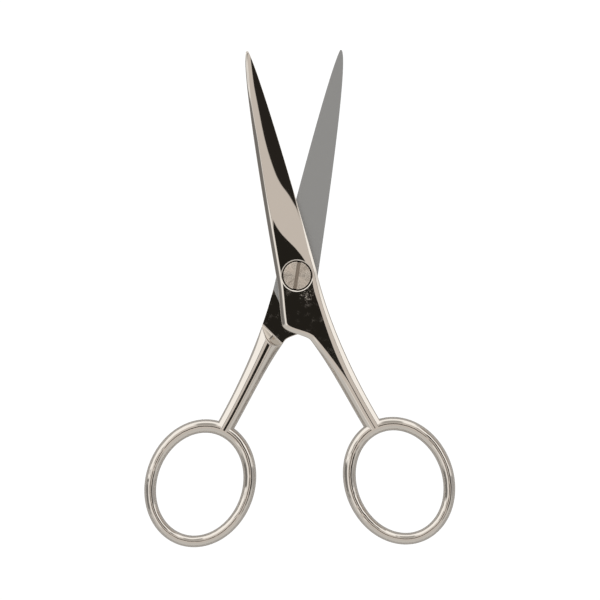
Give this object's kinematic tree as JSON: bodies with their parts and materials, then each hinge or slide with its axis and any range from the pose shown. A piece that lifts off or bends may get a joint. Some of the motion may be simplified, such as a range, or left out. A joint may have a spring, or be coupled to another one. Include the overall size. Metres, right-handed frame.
{
  "type": "thread scissors",
  "caption": "Small ring-handled thread scissors: crossed forged halves with slender pointed blades, turning on a countersunk slotted pivot screw.",
  "frame": {"origin": "on the pivot axis, at the flat back of the joint, where the pivot screw's end lies flush", "axes": "+Z along the pivot axis towards the screw's head, +Y towards the blade tips along the line halfway between the blades, +X to the right seen from the screw's head"},
  "size_m": [0.0612, 0.0974, 0.0037],
  "materials": {
    "polished_nickel": "nickel plated and mirror polished, inner blade faces ground matt",
    "turned_nickel": "fine turned face, nickel plated"
  },
  "bodies": {
    "front": {"front_half": "polished_nickel"},
    "rear": {"rear_half": "polished_nickel"},
    "screw": {"pivot_screw": "turned_nickel"}
  },
  "joints": [
    {"name": "blade_pivot", "type": "hinge", "parent": "front", "child": "rear", "pos_m": [0, 0, 0.00178], "axis": [0, 0, -1], "range_deg": [-23.4, 115]},
    {"name": "tension_turn", "type": "hinge", "parent": "rear", "child": "screw", "pos_m": [0, 0, 0.00178], "axis": [0, 0, 1], "range_deg": [-45, 45]}
  ]
}
